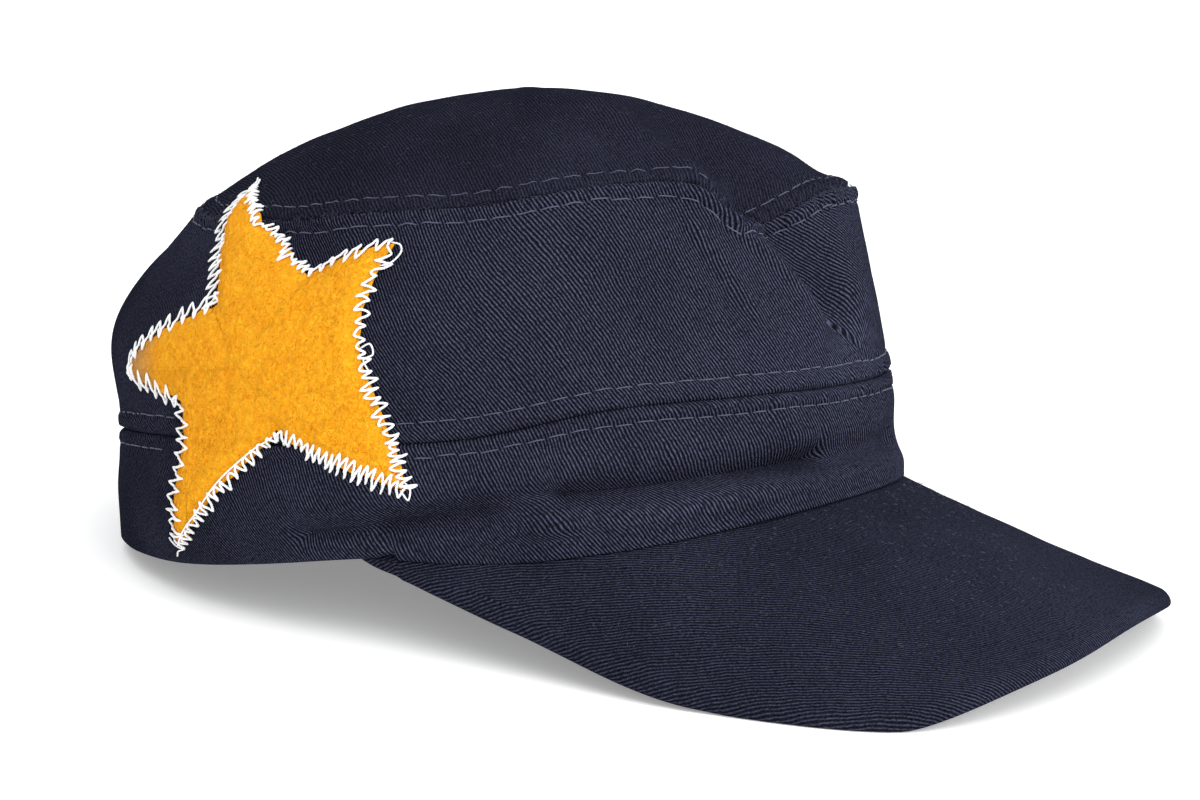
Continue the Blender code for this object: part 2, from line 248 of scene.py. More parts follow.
# Loose ends and loops of the white thread, as places in the star's plane in star radii and their
# lift above it in millimetres.
LOOSE_THREADS = (
    ((0.53, 0.47, 0.6), (0.58, 0.455, 1.1), (0.615, 0.42, 1.4), (0.60, 0.385, 1.1), (0.545, 0.38, 0.5)),
    ((-0.57, 0.745, 0.4), (-0.54, 0.79, 0.9), (-0.50, 0.775, 1.0), (-0.49, 0.73, 0.4)),
    ((-0.60, 0.80, 0.7), (-0.55, 0.785, 0.9), (-0.51, 0.755, 0.6)),
    ((-0.40, 0.53, 0.5), (-0.36, 0.58, 1.2), (-0.335, 0.55, 1.3), (-0.37, 0.50, 0.9), (-0.33, 0.50, 0.4)),
    ((-0.41, 0.50, 0.4), (-0.37, 0.52, 1.0), (-0.33, 0.57, 0.9), (-0.345, 0.61, 0.4)),
    ((-0.55, -0.75, 0.5), (-0.52, -0.765, 0.9), (-0.48, -0.785, 1.0), (-0.44, -0.80, 0.6)),
    ((-0.53, -0.84, 0.4), (-0.49, -0.81, 0.9), (-0.45, -0.80, 0.6)),
    ((0.85, -0.50, 0.6), (0.88, -0.53, 1.1), (0.865, -0.56, 1.0), (0.83, -0.53, 0.5)),
    ((0.63, 0.07, 0.6), (0.69, 0.09, 1.2), (0.71, 0.05, 1.1), (0.66, 0.03, 0.7), (0.68, -0.01, 0.4)),
)

# The twill's ribs: how far apart they are, how far they lean from upright, and how they wander.
RIB_PITCH = 0.00068
RIB_TILT = 36.0
FOLD_TURN = 28.0
PEAK_RIB_TILT = 57.0
GRAIN_WANDER = 0.0012

# The side's grain turns beyond a line, about a pivot. Places are angles and side heights.
GRAIN_FOLD_START = (-22.0, 1.0)
GRAIN_FOLD_END = (2.0, 0.30)
GRAIN_PIVOT = (-3.0, 0.32)

# The peak's edge, where the cloth is rolled: how far the roll reaches in, and its thickness.
PEAK_ROLL = 0.0026
PEAK_EDGE = 0.0042

# How the peak's corners draw out thin under the band: from where across, how much further round
# the head as a share of their angle, and what share of their thickness they lose.
CORNER_START = 0.90
CORNER_REACH = 0.085
CORNER_THIN = 0.70

# How the peak's front edge is warped, up or down.
PEAK_WARP = (
    # across, spread, lift
    (0.30, 0.20, 0.0030),
    (-0.08, 0.12, -0.0014),
)

# How far the band's lower edge hangs down just behind the peak's corners.
EDGE_SAG = 0.0012

# The level up to which the band is brought down on the peak, and the share of their gap closed.
SEATED_LEVEL = 0.12
GAP_CLOSED = 0.8

# How finely the walls are meshed: round the head, and up each outer face and every inner one.
COLUMNS = 760
BAND_ROWS = 64
SIDE_ROWS = 96
CROWN_ROWS = 84
INNER_ROWS = 14

# The camera, fitted to the photo, whose frame is 1200 by 800 pixels.
CAMERA_PLACE = (-0.5091, -0.3760, 0.1628)
CAMERA_AZIMUTH = -53.53
CAMERA_ELEVATION = 10.71
CAMERA_ROLL = 1.49
FOCAL_PIXELS = 2691.7
FRAME_PIXELS = 1200
SENSOR = 36.0

# The colours of the cloth: its ribs, the weave's own and lighter with painted highlight, and the gaps
# between them, darker with painted shade; the peak's ribs are darker than the side's. Then the
# colours of the felt, threads and lint.
NAVY_RIB_HIGHLIGHT = (0.084, 0.091, 0.150, 1.0)
NAVY_GAP_SHADE = (0.0013, 0.0014, 0.0027, 1.0)
PEAK_RIB_HIGHLIGHT = (0.052, 0.057, 0.094, 1.0)
# The crown's rib colour is darker than the side's, with painted shade on the cap's top.
CROWN_SHADED_RIB_HIGHLIGHT = (0.052, 0.055, 0.090, 1.0)
CROWN_GAP_SHADE = (0.0020, 0.0021, 0.0043, 1.0)
STITCH_BLUE = (0.070, 0.082, 0.130, 1.0)
FELT_LIGHT = (0.89, 0.45, 0.022, 1.0)
FELT_DEEP = (0.81, 0.28, 0.005, 1.0)
FELT_FLECK = (0.50, 0.13, 0.005, 1.0)
FELT_DARK_TIP = (0.42, 0.22, 0.085, 1.0)
THREAD_WHITE = (0.97, 0.975, 0.985, 1.0)
LINT = (0.075, 0.083, 0.12, 1.0)
PALE_LINT = (0.12, 0.13, 0.175, 1.0)


# Loose fibres, in metres, and how many are scattered. Only those inside the star's edge stay on
# the felt.
FIBRES = {
    # piece: length, radius, lift, seed
    "felt_fuzz_light": (0.0011, 0.000045, 0.00022, 92),
    "felt_fuzz_deep": (0.0011, 0.000045, 0.00022, 92),
    "seam_fray": (0.0016, 0.00004, 0.0005, 93),
    "crown_lint": (0.0011, 0.000035, 0.0003, 94),
    "peak_lint": (0.0010, 0.00004, 0.0004, 95),
}
FUZZ_TRIED = 14000
FUZZ_COUNT = 5200
FRAY_COUNT = 1100
CROWN_LINT_COUNT = 1200
PEAK_LINT_COUNT = 2400

# The lights, far off, with the directions they come from in degrees.
LIGHTS = (
    # name, energy, spread, azimuth, elevation
    ("overhead", 1.5, 75.0, -50.0, 78.0),
    ("front", 1.8, 70.0, -34.0, 30.0),
    ("rim", 1.4, 40.0, 24.0, 18.0),
)


def read(rows, place, column):
    """Read a column of a table at places along its first column, on a smooth curve."""
    knots = np.array([row[0] for row in rows])
    values = np.array([row[column] for row in rows])
    last = len(rows) - 1
    k = np.clip(np.searchsorted(knots, place, side="left") - 1, 0, last - 1)
    before, after = np.maximum(k - 1, 0), np.minimum(k + 2, last)
    span = knots[k + 1] - knots[k]
    t = (place - knots[k]) / span
    start = (values[k + 1] - values[before]) / (knots[k + 1] - knots[before]) * span
    end = (values[after] - values[k]) / (knots[after] - knots[k]) * span
    rise = values[k + 1] - values[k]
    return values[k] + t * (start + t * (3 * rise - 2 * start - end + t * (start + end - 2 * rise)))


def round_table(rows, angle):
    """Read a table of angles all round the head, joining its ends."""
    wrapped = [(row[0] - 360.0, row[1]) for row in rows[-2:]]
    wrapped += list(rows)
    wrapped += [(row[0] + 360.0, row[1]) for row in rows[:2]]
    return read(wrapped, (angle + 180.0) % 360.0 - 180.0, 1)


def smooth(t):
    """Ease from 0 to 1."""
    t = np.clip(t, 0.0, 1.0)
    return t * t * (3.0 - 2.0 * t)


def unit(vectors):
    """Vectors made one metre long."""
    return vectors / np.maximum(np.linalg.norm(vectors, axis=-1, keepdims=True), 1e-12)


def length_along(points, axis=0):
    """Distances along lines of points, from the first of each."""
    steps = np.linalg.norm(np.diff(points, axis=axis), axis=-1)
    start = np.zeros_like(np.take(steps, [0], axis=axis))
    return np.concatenate([start, np.cumsum(steps, axis=axis)], axis=axis)


def closed(grid):
    """A grid with its first column again after its last."""
    return np.concatenate([grid, grid[:, :1]], axis=1)


def waves(points, length, seed, terms=9):
    """Smooth random waves of about -1 to 1 over points in space."""
    random = np.random.default_rng(seed)
    total = 0.0
    for _ in range(terms):
        direction = random.normal(size=points.shape[-1])
        direction *= random.uniform(0.6, 1.4) * 2 * math.pi / length / np.linalg.norm(direction)
        total = total + np.sin(points @ direction + random.uniform(0.0, 2 * math.pi))
    return total / math.sqrt(terms)


def peak_height(x, y):
    """The height of the peak's upper face: an arch across, drooping forward."""
    sag = PEAK_ARCH_RADIUS - np.sqrt(np.maximum(PEAK_ARCH_RADIUS**2 - x * x, 0.0))
    forward = -y - HEAD_LENGTH / 2 * EDGE_SECTION[0]
    return PEAK_LIFT - sag - math.tan(math.radians(PEAK_DROOP)) * forward


def ring(angle, front, back, half_width):
    """Points of an oval about the head's middle, seen from above."""
    turn = np.radians(angle)
    reach = np.where(np.cos(turn) > 0, front, back)
    return half_width * HEAD_WIDTH / 2 * np.sin(turn), -reach * HEAD_LENGTH / 2 * np.cos(turn)


def edge_height(angle, x, y):
    """The height of the band's lower edge: on the peak in front, level at 0 behind it, and
    hanging a little just behind the peak's corners."""
    on_peak = peak_height(x, y) + SEAM_GAP
    behind = np.abs(angle) - PEAK_CORNER
    sag = EDGE_SAG * smooth((behind + 2.0) / 6.0) * (1.0 - smooth((behind - 6.0) / 42.0))
    return on_peak * (1.0 - smooth(behind / BEHIND_CORNER)) - sag


def wall_height(angle, level):
    """The height of the wall at a level from 0 to 2."""
    ahead = (1.0 + np.cos(np.radians(angle))) / 2
    lower, upper = (front * ahead + back * (1.0 - ahead) for front, back in SEAM_HEIGHTS)
    seam = BAND_HEIGHT * lower + SIDE_HEIGHT * round_table(LOWER_SEAM_WAVE, angle)
    on_peak = np.clip(angle, -PEAK_CORNER, PEAK_CORNER)
    edge = edge_height(angle, *ring(on_peak, *EDGE_SECTION))
    rise = SIDE_HEIGHT * (upper + round_table(TOP_SEAM_WAVE, angle))
    return np.where(level <= 1.0, edge * (1.0 - level) + seam * level, seam + rise * (level - 1.0))


@functools.lru_cache(maxsize=None)
def crown_middle_height():
    """The height at the crown's middle that its rim alone would give."""
    return float(wall_height(0.0, 2.0) + wall_height(180.0, 2.0)) / 2


def smooth_wall(angle, level):
    """Points of the inner face of the wall or of the crown, with no folds in it."""
    low = np.minimum(level, 2.0)
    front, back, half_width = (read(SECTIONS, low, column) for column in (1, 2, 3))
    x, y = ring(angle, front, back, half_width)
    share = np.minimum(3.0 - level, 1.0)
    middle = HEAD_LENGTH / 4 * (back - front) * (level > 2.0)
    dome = crown_middle_height() * (1.0 - share) + DOME_RISE * (1.0 - share * share)
    z = wall_height(angle, low) * share + dome
    return np.stack(np.broadcast_arrays(x * share, middle + (y - middle) * share, z), -1)


def wall_point(angle, level):
    """Points of the wall's inner face, in the cap's own frame, moved by the folds near them."""
    angle, level = np.broadcast_arrays(np.asarray(angle, float), np.asarray(level, float))
    point = smooth_wall(angle, level)
    low = np.minimum(level, 2.0)
    along = smooth_wall(angle + 1.0, low) - smooth_wall(angle - 1.0, low)
    lean = math.pi / 2 * smooth((level - UPRIGHT_LEVEL) / (3.0 - UPRIGHT_LEVEL))
    out = unit(np.stack([along[..., 1], -along[..., 0], np.zeros(level.shape)], -1))
    out *= np.cos(lean)[..., None]
    out[..., 2] = np.sin(lean)
    total = np.zeros(level.shape)
    for from_angle, from_level, to_angle, to_level, width, depth in FOLDS:
        start = smooth_wall(from_angle, from_level)
        run = smooth_wall(to_angle, to_level) - start
        share = np.clip((point - start) @ run / (run @ run), 0.0, 1.0)
        away = point - start - run * share[..., None]
        under = (away * out).sum(-1)
        beside = np.linalg.norm(away - out * under[..., None], axis=-1)
        near = np.exp(-((beside / width / SIDE_HEIGHT) ** 2) - (under / SIDE_HEIGHT) ** 2)
        total += depth * SIDE_HEIGHT * near
    return point + out * (total * smooth(level / HELD_LEVEL))[..., None]


def out_of(angle, level):
    """The direction out of the wall."""
    level = np.minimum(level, 2.95)
    across = wall_point(angle + 1.0, level) - wall_point(angle - 1.0, level)
    up = wall_point(angle, level + 0.02) - wall_point(angle, np.maximum(level - 0.02, 0.0))
    return unit(np.cross(across, up))


def peak_edge(across):
    """Points of the peak's outline, seen from above."""
    half = [(0.0, *PEAK_OUTLINE[0])]
    for row in PEAK_OUTLINE[1:]:
        x = (row[0] - half[-1][1]) * HEAD_WIDTH / 2
        y = (row[1] - half[-1][2]) * PEAK_REACH
        half.append((half[-1][0] + math.hypot(x, y), *row))
    length = half[-1][0]
    rows = half + [(2 * length - place, -x, y) for place, x, y in reversed(half[:-1])]
    place = (1.0 - across) * length
    corner_y = ring(PEAK_CORNER, *EDGE_SECTION)[1]
    return read(rows, place, 1) * HEAD_WIDTH / 2, corner_y - read(rows, place, 2) * PEAK_REACH


def peak_point(across, forward):
    """Points of the peak's upper face: across from -1 to 1, forward from the band to the edge."""
    inner_x, inner_y = ring(across * PEAK_CORNER, *EDGE_SECTION)
    outer_x, outer_y = peak_edge(across)
    x = inner_x + (outer_x - inner_x) * forward
    y = inner_y + (outer_y - inner_y) * forward
    return np.stack(np.broadcast_arrays(x, y, peak_height(x, y)), -1)


def peak_reach(across):
    """How long the peak is from the band to its edge, at places across."""
    return np.linalg.norm(peak_point(across, 1.0) - peak_point(across, 0.0), axis=-1)


def resting_pose():
    """The turn and shift that bring the cap down on its band's back and its peak's corners."""
    back = wall_point(180.0, 0.0)
    under = peak_point(np.linspace(0.0, 1.0, 49), 1.0) - [0.0, 0.0, PEAK_THICKNESS]
    tilt = np.arctan2(back[2] - under[:, 2], back[1] - under[:, 1]).max()
    turn = np.array(Matrix.Rotation(-tilt, 3, "X"))
    floor = min((turn @ back)[2], (under @ turn.T)[:, 2].min()) + FLATTENED
    wall = wall_point(180.0, np.linspace(0.0, 2.0, 41)) @ turn.T
    ends = np.append((peak_point(np.linspace(0.0, 1.0, 49), 1.0) @ turn.T)[:, 1], wall[:, 1].max() + WALL)
    return turn, np.array([0.0, -(ends.min() + ends.max()) / 2, -floor])


TURN, SHIFT = resting_pose()


def rested(points):
    """Points of the cap's own frame, moved to where it rests and flattened on the surface."""
    moved = points @ TURN.T + SHIFT
    moved[..., 2] = np.maximum(moved[..., 2], 0.0)
    return moved


def add_object(name, data):
    """A new object in the scene."""
    made = bpy.data.objects.new(name, data)
    bpy.context.scene.collection.objects.link(made)
    return made


def add_mesh(name, points, faces, grain, material):
    """A smooth mesh with its grain in metres as a UV map, which rides on the cap."""
    mesh = bpy.data.meshes.new(name)
    mesh.from_pydata(np.asarray(points, float).reshape(-1, 3).tolist(), [], faces)
    layer = mesh.uv_layers.new(name="grain")
    layer.data.foreach_set("uv", np.asarray(grain, np.float32).ravel())
    mesh.materials.append(material)
    mesh.shade_smooth()
    mesh.validate()
    piece = add_object(name, mesh)
    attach(piece, "root")
    return piece


def grid_faces(rows, columns, around, joined):
    """Four-sided faces through a grid, and for each corner its row and column."""
    r, c = np.meshgrid(
        np.arange(rows if joined else rows - 1),
        np.arange(columns if around else columns - 1),
        indexing="ij",
    )
    corner_rows = np.stack([r, r, (r + 1) % rows, (r + 1) % rows], -1).reshape(-1, 4)
    corner_columns = np.stack([c, c + 1, c + 1, c], -1).reshape(-1, 4)
    return corner_rows * columns + corner_columns % columns, corner_rows, corner_columns


def wall_piece(name, node, low, high, rounds, material, detail, grain_of, outer_rows, inner_rows):
    """The cloth of one wall: a fine closed sheet with rounded edges, or a dome if high is 3.
    The answer is its outer face, to sew on."""
    is_dome = high >= 3.0
    fine = np.linspace(0.0, 1.0, outer_rows)
    near_ends = 0.5 - 0.5 * np.cos(math.pi * fine)
    shares = 0.55 * fine + 0.45 * near_ends
    if is_dome:
        shares = 0.25 * fine**1.5 + 0.75 * fine
        shares = shares[:-1]
    levels = low + (high - low) * shares
    angles = -180.0 + 360.0 * np.arange(COLUMNS) / COLUMNS
    base = wall_point(angles[None, :], levels[:, None])
    normal = out_of(angles[None, :], levels[:, None])
    from_low = length_along(base)
    from_high = np.full(from_low.shape, 1.0) if is_dome else from_low[-1] - from_low
    normal = met_at_seams(normal, angles, low, high, from_low, from_high)
    rounding = 0.0
    for radius, distance in zip(rounds, (from_low, from_high)):
        inset = np.maximum(radius - distance, 0.0)
        rounding = rounding + radius - np.sqrt(np.maximum(radius**2 - inset**2, 0.0))
    fade = smooth(np.minimum(from_low, from_high) / 0.0008)
    raised = WALL - rounding + detail(base, angles[None, :], from_low, from_high) * fade
    outer = base + normal * raised[..., None]
    picked = np.unique(np.linspace(0, len(levels) - 1, inner_rows).astype(int))[::-1]
    points = np.concatenate([outer, base[picked]])
    if low == 0.0:
        seat_on_peak(points, angles, np.concatenate([levels, levels[picked]]))
    grain = grain_of(base, from_low, angles)
    grain = np.concatenate([grain, grain[picked]])
    rows = len(points)
    faces, corner_rows, corner_columns = grid_faces(rows, COLUMNS, True, not is_dome)
    if is_dome:
        bridge = corner_rows[:, 0] == len(levels) - 1
        kept = (each[~bridge] for each in (faces, corner_rows, corner_columns))
        faces, corner_rows, corner_columns = kept
    corners = grain[corner_rows, corner_columns]
    polygons = faces.tolist()
    points = rested(points.reshape(-1, 3))
    if is_dome:
        polygons, points, corners = close_dome(polygons, points, corners, grain, len(levels))
    piece = add_mesh(name, points, polygons, corners.reshape(-1, 2), material)
    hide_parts(node)
    return Surface(angles, levels, from_low, outer, normal)


def met_at_seams(normal, angles, low, high, from_low, from_high):
    """Turn the outward direction near a seam to the one that both its walls share."""
    for level, distance in ((low, from_low), (high, from_high)):
        seam = round(level)
        if seam in (1, 2):
            shared = unit(out_of(angles, seam - 0.03) + out_of(angles, seam + 0.03))
            share = 1.0 - smooth(distance / SEAM_BLEND)[..., None]
            normal = unit(normal * (1.0 - share) + shared[None] * share)
    return normal


def close_dome(polygons, points, corners, grain, outer_rows):
    """Close both faces of the crown at its middle, and join them along its rim."""
    middle = wall_point(0.0, 3.0)
    tips = rested(np.array([middle + [0.0, 0.0, WALL], middle]))
    count = len(points)
    tip_grain = grain[outer_rows - 1, :COLUMNS].mean(0)
    extra = []
    top, first, rim = (row * COLUMNS for row in (outer_rows - 1, outer_rows, len(grain) - 1))
    for k in range(COLUMNS):
        after = (k + 1) % COLUMNS
        polygons.append([top + k, top + after, count])
        extra.append([grain[outer_rows - 1, k], grain[outer_rows - 1, k + 1], tip_grain])
        polygons.append([first + after, first + k, count + 1])
        extra.append([grain[outer_rows, k + 1], grain[outer_rows, k], tip_grain])
        polygons.append([rim + k, rim + after, after, k])
        extra.append([grain[-1, k], grain[-1, k + 1], grain[0, k + 1], grain[0, k]])
    flat = [corners.reshape(-1, 2)] + [np.array(each) for each in extra]
    return polygons, np.vstack([points, tips]), np.concatenate(flat)


def seat_on_peak(points, angles, levels):
    """Bring the band's lower edge down on the peak, in the band's lowest part."""
    front = np.abs(angles) < PEAK_CORNER
    on_peak = np.clip(angles, -PEAK_CORNER, PEAK_CORNER)
    base_z = edge_height(angles, *ring(on_peak, *EDGE_SECTION))
    for row, level in enumerate(levels):
        share = max(1.0 - level / SEATED_LEVEL, 0.0)
        if share > 0.0:
            x, y, z = np.moveaxis(points[row], -1, 0)
            drop = (edge_height(angles, x, y) - base_z - GAP_CLOSED * SEAM_GAP) * front
            points[row, :, 2] = z + drop * share


class Surface:
    """The outer face of a finished wall, to sew on."""

    def __init__(self, angles, levels, from_low, outer, normal):
        self.angles = np.append(angles, 180.0)
        self.levels = levels
        self.from_low, self.outer, self.normal = closed(from_low), closed(outer), closed(normal)

    def at(self, angle, offset):
        """Points and directions at an angle and a distance up from the lower edge, or down from
        the upper edge where the distance is below zero."""
        angle, offset = np.broadcast_arrays(np.asarray(angle, float), np.asarray(offset, float))
        column = (angle + 180.0) % 360.0 / 360.0 * (len(self.angles) - 1)
        near = np.minimum(column.astype(int), len(self.angles) - 2)
        t = (column - near)[..., None]
        heights = self.from_low[:, near]
        wanted = np.where(offset < 0.0, heights[-1] + offset, offset)
        row = (heights < wanted).sum(0) - 1
        row = np.clip(row, 0, len(self.levels) - 2)
        flat = np.take_along_axis(heights, row[None], 0)[0]
        above = np.take_along_axis(heights, row[None] + 1, 0)[0]
        s = np.clip((wanted - flat) / np.maximum(above - flat, 1e-9), 0.0, 1.0)[..., None]
        found = []
        for grid in (self.outer, self.normal):
            lower = grid[row, near] * (1 - t) + grid[row, near + 1] * t
            upper = grid[row + 1, near] * (1 - t) + grid[row + 1, near + 1] * t
            found.append(lower * (1 - s) + upper * s)
        return found[0], unit(found[1])


def seam_relief(angles, distance, offset, seed):
    """The welt between a seam and its row of stitches, the row's dimples and the puckers."""
    around = np.radians(angles) * HEAD_LENGTH / 2
    lane = np.broadcast_to(around, distance.shape)
    places = np.stack([lane, distance * 0.25], -1)
    pucker = waves(places, 0.0042, seed) + 0.6 * waves(places, 0.0021, seed + 1)
    front = 0.5 + 0.5 * smooth((100.0 - np.abs(angles + 20.0)) / 60.0)
    welt = WELT_RISE * front * smooth(distance / 0.0012) * smooth((offset + 0.0004 - distance) / 0.0016)
    row = np.exp(-(((distance - offset) / 0.0007) ** 2))
    stitch = 0.65 + 0.35 * np.cos(2 * math.pi * around / (STITCH_LENGTH + STITCH_SPACE))
    near = np.exp(-((distance / (offset * 1.5)) ** 2))
    return welt - STITCH_DIMPLE * row * stitch + PUCKER * pucker * near


def wall_detail(low_seam, high_seam, seed):
    """The relief of a wall's outer face: its seams, and soft wrinkles all over."""

    def detail(base, angles, from_low, from_high):
        relief = WRINKLE * (waves(base, 0.034, seed) + 0.45 * waves(base, 0.015, seed + 1))
        if low_seam:
            relief = relief + seam_relief(angles, from_low, low_seam, seed + 2)
        if high_seam:
            relief = relief + seam_relief(angles, from_high, high_seam, seed + 4)
        return relief

    return detail


def around_length(angles):
    """Distance round the head along the lower seam, from the back, one value more than angles."""
    return length_along(smooth_wall(np.append(angles, 180.0), 1.0))


def cut_on_grain(s, t, tilt=RIB_TILT):
    """Coordinates across and along the ribs, from those round and up the cloth."""
    turn = np.radians(tilt)
    across = s * np.cos(turn) + t * np.sin(turn)
    along = t * np.cos(turn) - s * np.sin(turn)
    return np.stack([across, along], -1)


def up_length(from_low, angles, level):
    """Distance up a wall that ends at a level, as if its folds took up no cloth."""
    smooth_run = smooth_wall(angles, level) - smooth_wall(angles, level - 1.0)
    return closed(from_low / from_low[-1] * np.linalg.norm(smooth_run, axis=-1))


def upright_grain(base, from_low, angles):
    """The band's grain: ribs that lean down towards the front."""
    s = around_length(angles) + GRAIN_WANDER * waves(closed(base), 0.05, 31)
    return cut_on_grain(s, up_length(from_low, angles, 1.0))


def side_grain(base, from_low, angles):
    """The side's grain, which turns over along the fold at the front corner."""
    s = around_length(angles)
    t = up_length(from_low, angles, 2.0)
    scale = np.array([s[-1] / 360.0, SIDE_HEIGHT])
    start, end, middle = (
        (np.array(place) + [180.0, 0.0]) * scale
        for place in (GRAIN_FOLD_START, GRAIN_FOLD_END, GRAIN_PIVOT)
    )
    run = unit(end - start)
    past_fold = (s - start[0]) * -run[1] + (t - start[1]) * run[0]
    turned = smooth(past_fold / 0.003) * (1.0 - smooth((np.append(angles, 180.0) - 4.0) / 45.0))
    turned = turned * smooth((t - 0.003) / 0.022)
    s = s + GRAIN_WANDER * waves(closed(base), 0.05, 31)
    return cut_on_grain(s - middle[0], t - middle[1], RIB_TILT + FOLD_TURN * turned)


def crown_grain(base, from_low, angles):
    """The crown's grain, as it lies flat seen from above."""
    wrapped = closed(base)
    return cut_on_grain(wrapped[..., 0], -wrapped[..., 1])


def make_material(name):
    """A material with its shader, nodes and links at hand."""
    material = bpy.data.materials.new(name)
    material.use_nodes = True
    tree = material.node_tree
    return material, tree, tree.nodes["Principled BSDF"]


def feed(tree, node, inputs):
    """Join each named input of a node to a socket, or set it to a value."""
    for name, value in inputs.items():
        if isinstance(value, bpy.types.NodeSocket):
            tree.links.new(value, node.inputs[name])
        else:
            node.inputs[name].default_value = value


def add_node(tree, kind, inputs, **settings):
    """A shader node with its settings and inputs."""
    node = tree.nodes.new("ShaderNode" + kind)
    for name, value in settings.items():
        setattr(node, name, value)
    feed(tree, node, inputs)
    return node


def math_node(tree, operation, *inputs):
    """A maths node whose inputs are sockets or numbers."""
    return add_node(tree, "Math", dict(enumerate(inputs)), operation=operation).outputs[0]


def times(tree, first, second, plus=None):
    """One value times another, and plus a third if it is given."""
    if plus is None:
        return math_node(tree, "MULTIPLY", first, second)
    return math_node(tree, "MULTIPLY_ADD", first, second, plus)


def waved(tree, turns):
    """A wave between 0 and 1, from an angle."""
    return times(tree, math_node(tree, "SINE", turns), 0.5, 0.5)


def object_place(tree):
    """The place on the object, in metres."""
    return add_node(tree, "TexCoord", {}).outputs["Object"]


def grain_place(tree):
    """The place on the cloth or thread, across and along its grain, in metres."""
    return add_node(tree, "UVMap", {}, uv_map="grain").outputs["UV"]


def parts_of(tree, vector):
    """A vector's parts, by the letters of their axes."""
    return add_node(tree, "SeparateXYZ", {0: vector}).outputs


def mix_colour(tree, share, first, second):
    """A mix of two colours, each a socket or a value."""
    return add_node(tree, "Mix", {0: share, 6: first, 7: second}, data_type="RGBA").outputs[2]


def noise(tree, vector, scale, detail=2.0, roughness=0.5, result="Fac"):
    """A noise texture of about 0 to 1."""
    inputs = {"Vector": vector, "Scale": scale, "Detail": detail, "Roughness": roughness}
    return add_node(tree, "TexNoise", inputs).outputs[result]


def ramp(tree, value, low, high, results=(0.0, 1.0)):
    """Stretch a value so that low gives the first result and high the second."""
    inputs = {"Value": value, "From Min": low, "From Max": high}
    inputs["To Min"], inputs["To Max"] = results
    return add_node(tree, "MapRange", inputs).outputs["Result"]


def scaled(tree, vector, scale):
    """A vector scaled along each axis."""
    return add_node(tree, "Mapping", {"Vector": vector, "Scale": scale}).outputs["Vector"]


def bump(tree, height, distance):
    """Relief from a height of 0 to 1, over a distance in metres."""
    return add_node(tree, "Bump", {"Height": height, "Distance": distance}).outputs["Normal"]


def twill(name, pitch, ribs, fuzz, rib_highlight=NAVY_RIB_HIGHLIGHT, gap_shade=NAVY_GAP_SHADE):
    """Cotton twill: ribs across the grain, threads along them, fuzz and worn patches, with painted
    highlight on the ribs, painted shade in the gaps and painted shade darkening the cloth towards the
    back.
    """
    material, tree, shader = make_material(name)
    place, grain = object_place(tree), grain_place(tree)
    parts = parts_of(tree, grain)
    wander = times(tree, noise(tree, place, 160.0, 3.0), 0.0011)
    across = math_node(tree, "ADD", parts["X"], wander)
    turns = times(tree, across, 2 * math.pi / pitch)
    rib = waved(tree, turns)
    thread_turns = times(tree, parts["Y"], 2 * math.pi / (pitch * 0.62))
    thread_wave = waved(tree, times(tree, turns, 0.5, thread_turns))
    stretched = scaled(tree, grain, (1.0 / pitch, 0.42 / pitch, 1.0))
    speckle = ramp(tree, noise(tree, stretched, 2.2, 3.0, 0.7), 0.38, 0.64)
    fluff = ramp(tree, noise(tree, place, 2600.0, 2.0, 0.7), 0.35, 0.75)
    worn = ramp(tree, noise(tree, place, 26.0, 4.0, 0.55), 0.36, 0.68)
    broken = times(tree, speckle, 0.85, 0.15)
    woven = times(tree, math_node(tree, "POWER", rib, 2.4), broken)
    shade = times(tree, woven, ribs, times(tree, fluff, fuzz))
    # Painted shade: the cloth darker towards the back of the cap and lighter towards the front.
    painted_shade_to_back = ramp(tree, parts_of(tree, place)["Y"], 0.10, -0.10, (0.56, 1.10))
    tone = times(tree, shade, times(tree, worn, 0.45, painted_shade_to_back))
    relief = times(tree, thread_wave, 0.25, times(tree, rib, 0.75))
    height = times(tree, relief, ribs, times(tree, fluff, 0.5))
    feed(tree, shader, {
        # The base colour mixes painted shade in the gaps with painted highlight on the ribs.
        "Base Color": mix_colour(tree, tone, gap_shade, rib_highlight),
        "Normal": bump(tree, height, 0.00016),
        "Roughness": ramp(tree, worn, -2.0, 1.6),
        "Specular IOR Level": 0.0,
        "Sheen Weight": 0.004,
        "Sheen Roughness": 0.45,
        "Sheen Tint": (0.55, 0.62, 0.85, 1.0),
    })
    return material


